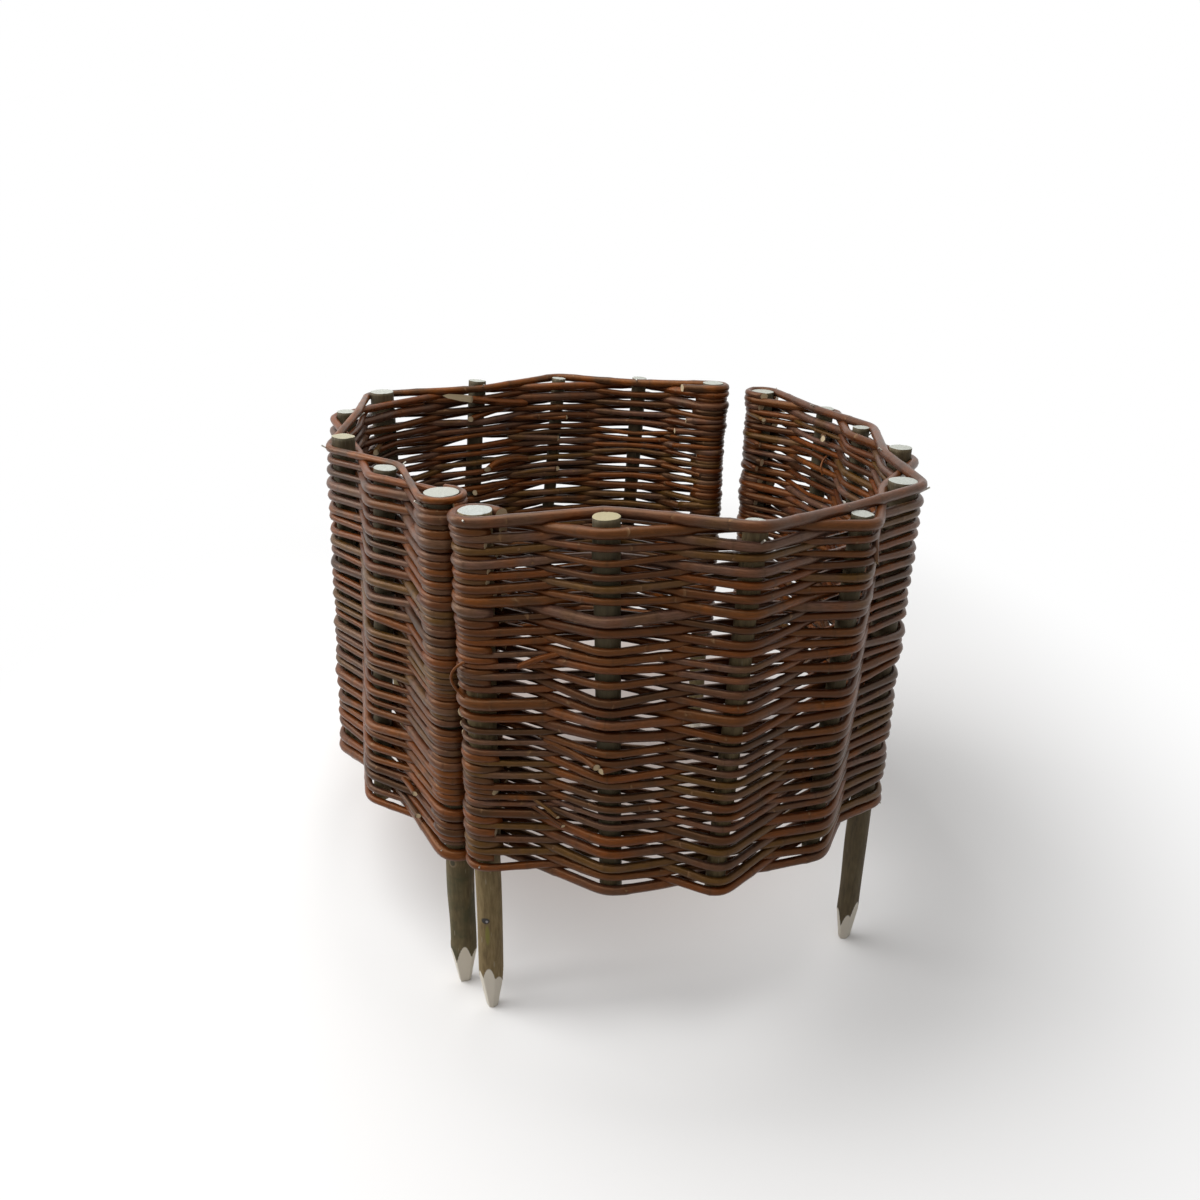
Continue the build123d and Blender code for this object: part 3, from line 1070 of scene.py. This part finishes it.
marked = bark.outputs["Color"]
for mask, colour in ((green, "#454322"), (pore_mask, "#8d8068")):
    marked = add_node(tree, "ShaderNodeMix", {"Factor": mask, 6: marked, 7: linear(colour)},
                      data_type="RGBA").outputs[2]
for middle, half_size, colour in MARKS:
    marked = add_mark(tree, marked, middle, half_size, colour)
# Painted shade and light: the bark inside the wall is darkened for the shade between the rods, and
# below the wall each leg is made lighter or darker, as the light falls on it.
painted_light_and_shade = add_node(tree, "ShaderNodeMapRange", {
    "Value": height_out, "From Min": WALL_FOOT[0], "From Max": WALL_FOOT[1],
    "To Min": leg_out, "To Max": in_wall_out}).outputs["Result"]
bark_with_painted_light_and_shade = add_node(tree, "ShaderNodeVectorMath", {0: marked, "Scale": painted_light_and_shade},
                    operation="SCALE").outputs["Vector"]
print("nodes for the bark and its marks:", len(tree.nodes))

# %% Cut hazel and the surface of the stakes
# Real fibres are finer than this, and so are the spangles of the wire below.
FIBRE_PER_M = 1 / (1.2 * MM)
POINTS_END = (80 * MM, 60 * MM)
# The points near the ground are painted nearly white: pale cut wood, and painted light that lifts
# them out of the shade near the floor.
TIP_PALENESS = 0.97

fibre = add_node(tree, "ShaderNodeTexNoise", {"Vector": stretched, "Scale": FIBRE_PER_M,
                                              "Detail": 3.0}).outputs["Fac"]
wood = add_node(tree, "ShaderNodeValToRGB", {"Fac": fibre}, stops=(
    (0.25, "#9fa29b"), (0.5, "#b0b4af"), (0.75, "#bec3bf")))
tan_wood = add_node(tree, "ShaderNodeMix", {"Factor": tan_out, 6: wood.outputs["Color"],
                                            7: linear("#a69c7b")}, data_type="RGBA").outputs[2]
tip_wood_with_painted_light = add_node(tree, "ShaderNodeMix", {"Factor": TIP_PALENESS, 6: tan_wood,
                                            7: linear("#fbf5e7")}, data_type="RGBA").outputs[2]
low_down = add_node(tree, "ShaderNodeMapRange", {
    "Value": height_out, "From Min": POINTS_END[0], "From Max": POINTS_END[1]}).outputs["Result"]
cut_wood = add_node(tree, "ShaderNodeMix", {"Factor": low_down, 6: tan_wood, 7: tip_wood_with_painted_light},
                    data_type="RGBA").outputs[2]
bare = add_node(tree, "ShaderNodeMapRange", {"Value": peeled_out, "From Min": 0.15,
                                             "From Max": 0.4}).outputs["Result"]
coloured = add_node(tree, "ShaderNodeMix", {"Factor": bare, 6: bark_with_painted_light_and_shade, 7: cut_wood},
                    data_type="RGBA").outputs[2]
bump = add_node(tree, "ShaderNodeBump", {"Height": streaks, "Strength": 0.6,
                                         "Distance": 0.5 * MM}).outputs["Normal"]
surface = add_node(tree, "ShaderNodeBsdfPrincipled", {
    "Base Color": coloured, "Roughness": 0.72, "IOR": 1.5, "Normal": bump})
add_node(tree, "ShaderNodeOutputMaterial", {"Surface": surface.outputs["BSDF"]})
for piece in stake_pieces:
    piece.data.materials.append(hazel)
print("hazel nodes:", len(tree.nodes))

# %% [markdown]
# ## Wire pins
#
# The top and bottom rods are held by short pins of galvanised wire, a little dull and
# grey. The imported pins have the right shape, so they only get their finish here.

# %% The pins
pin_wire, tree = new_material("galvanised_wire")
object_out = add_node(tree, "ShaderNodeTexCoord").outputs["Object"]
spangle = add_node(tree, "ShaderNodeTexNoise", {"Vector": object_out, "Scale": 1 / (1.0 * MM),
                                                "Detail": 2.0}).outputs["Fac"]
zinc = add_node(tree, "ShaderNodeValToRGB", {"Fac": spangle}, stops=(
    (0.3, "#8f8a80"), (0.7, "#c9c5ba")))
surface = add_node(tree, "ShaderNodeBsdfPrincipled", {
    "Base Color": zinc.outputs["Color"], "Metallic": 0.8, "Roughness": 0.45})
add_node(tree, "ShaderNodeOutputMaterial", {"Surface": surface.outputs["BSDF"]})
for half in ("left", "right"):
    for level in ("top", "bottom"):
        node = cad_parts[f"{half}_{level}_pins"]
        node.data.materials.clear()
        node.data.materials.append(pin_wire)
print("wire nodes:", len(tree.nodes))

# %% [markdown]
# ## The floor
#
# The ring stands on a plain pale floor. It keeps the soft shadow of the ring, and further
# out it fades to white, so that no horizon shows. Inside and behind the ring, where the
# slits let the eye through, a painted shade darkens its paint to pale grey, in an oval with
# a very soft edge. The light that the floor throws back up is held a little lower than its
# paint, which keeps the inside of the ring dark.

# %% The floor
FLOOR_HALF = 6.0
PAINTED_SHADE_MIDDLE = (-0.14, 0.24, 0.0)
PAINTED_SHADE_TURN = np.radians(30.0)
PAINTED_SHADE_HALF_SIZE = (0.32, 0.44, 1.0)


def seen_directly(tree):
    """One where the eye sees a surface: straight on, in a mirror or through glass."""
    rays = add_node(tree, "ShaderNodeLightPath")
    direct = add_node(tree, "ShaderNodeMath", {0: rays.outputs["Is Camera Ray"],
                                               1: rays.outputs["Is Glossy Ray"]},
                      operation="MAXIMUM").outputs[0]
    return add_node(tree, "ShaderNodeMath", {0: direct, 1: rays.outputs["Is Transmission Ray"]},
                    operation="MAXIMUM").outputs[0]


corners = [(x * FLOOR_HALF, y * FLOOR_HALF, 0) for x, y in ((-1, -1), (1, -1), (1, 1), (-1, 1))]
floor_mesh = bpy.data.meshes.new("pale_floor")
floor_mesh.from_pydata(corners, [], [(0, 1, 2, 3)])
floor = bpy.data.objects.new("pale_floor", floor_mesh)
bpy.context.scene.collection.objects.link(floor)
floor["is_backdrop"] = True
paint, tree = new_material("pale_floor_paint")
object_out = add_node(tree, "ShaderNodeTexCoord").outputs["Object"]
from_painted_shade = add_node(tree, "ShaderNodeMapping", {
    "Vector": object_out, "Location": PAINTED_SHADE_MIDDLE, "Rotation": (0.0, 0.0, PAINTED_SHADE_TURN),
    "Scale": PAINTED_SHADE_HALF_SIZE}, vector_type="TEXTURE").outputs["Vector"]
distance = add_node(tree, "ShaderNodeVectorMath", {0: from_painted_shade},
                    operation="LENGTH").outputs["Value"]
far = add_node(tree, "ShaderNodeMapRange", {"Value": distance, "From Min": 1.3, "From Max": 3.0},
               interpolation_type="SMOOTHSTEP").outputs["Result"]
seen = seen_directly(tree)
white_part = add_node(tree, "ShaderNodeMath", {0: far, 1: seen}, operation="MULTIPLY").outputs[0]
# Painted shade: the paint is darker inside and behind the ring and fades to pale further out.
near = add_node(tree, "ShaderNodeMapRange", {"Value": distance, "From Min": 0.5, "From Max": 1.35},
                interpolation_type="SMOOTHSTEP").outputs["Result"]
pale = add_node(tree, "ShaderNodeMix", {"Factor": near, 6: linear("#bfb4ae"), 7: linear("#f6f5f4")},
                data_type="RGBA").outputs[2]
thrown_up = add_node(tree, "ShaderNodeMix", {"Factor": seen, 6: linear("#a39c95"), 7: pale},
                     data_type="RGBA").outputs[2]
matt = add_node(tree, "ShaderNodeBsdfDiffuse", {"Color": thrown_up}).outputs["BSDF"]
white = add_node(tree, "ShaderNodeEmission", {
    "Color": (1, 1, 1, 1), "Strength": 1.0}).outputs["Emission"]
mixed = add_node(tree, "ShaderNodeMixShader", {0: white_part, 1: matt, 2: white}).outputs["Shader"]
add_node(tree, "ShaderNodeOutputMaterial", {"Surface": mixed})
floor_mesh.materials.append(paint)
print("floor nodes:", len(tree.nodes))

# %% [markdown]
# ## The light
#
# Soft daylight falls on the ring. One large lamp stands high on the left, as a window
# would, another hangs overhead, and the pale sky of the world fills the shadows. The sky
# itself looks white, but it gives only part of that light to the ring.

# %% The light
WINDOW_WATTS = 29.0
OVERHEAD_WATTS = 45.0
SKY = 0.27


def soft_lamp(name, place, target, size, watts):
    """A square lamp at a place, turned to face a target."""
    data = bpy.data.lights.new(name, "AREA")
    data.size = size
    data.energy = watts
    lamp = bpy.data.objects.new(name, data)
    bpy.context.scene.collection.objects.link(lamp)
    lamp.location = place
    look = Vector(target) - Vector(place)
    lamp.rotation_mode = "QUATERNION"
    lamp.rotation_quaternion = look.to_track_quat("-Z", "Y")
    return lamp


soft_lamp("window_light", (-1.9, -1.0, 1.5), (0, 0, 0.25), 1.4, WINDOW_WATTS)
soft_lamp("overhead_light", (-0.4, -0.3, 2.3), (0, 0, 0.2), 2.0, OVERHEAD_WATTS)
world = bpy.data.worlds.new("pale_sky")
bpy.context.scene.world = world
world.use_nodes = True
tree = world.node_tree
tree.nodes.clear()
strength = add_node(tree, "ShaderNodeMapRange", {
    "Value": seen_directly(tree), "To Min": SKY, "To Max": 1.0})
sky = add_node(tree, "ShaderNodeBackground", {"Color": (1, 1, 1, 1),
                                              "Strength": strength.outputs["Result"]})
add_node(tree, "ShaderNodeOutputWorld", {"Surface": sky.outputs["Background"]})
bpy.context.scene.view_settings.view_transform = "Standard"
print("lamps in watts:", WINDOW_WATTS, OVERHEAD_WATTS)

# %% [markdown]
# ## The last checks
#
# The largest difference between the box of the finished piece and the box of the imported
# model is printed.

# %% Sizes and the end
new_box = [list(corner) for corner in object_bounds()]
growth = np.abs(np.array(new_box) - np.array(cad_box)).max() / MM
print("largest difference from the CAD box in mm:", round(float(growth), 1))
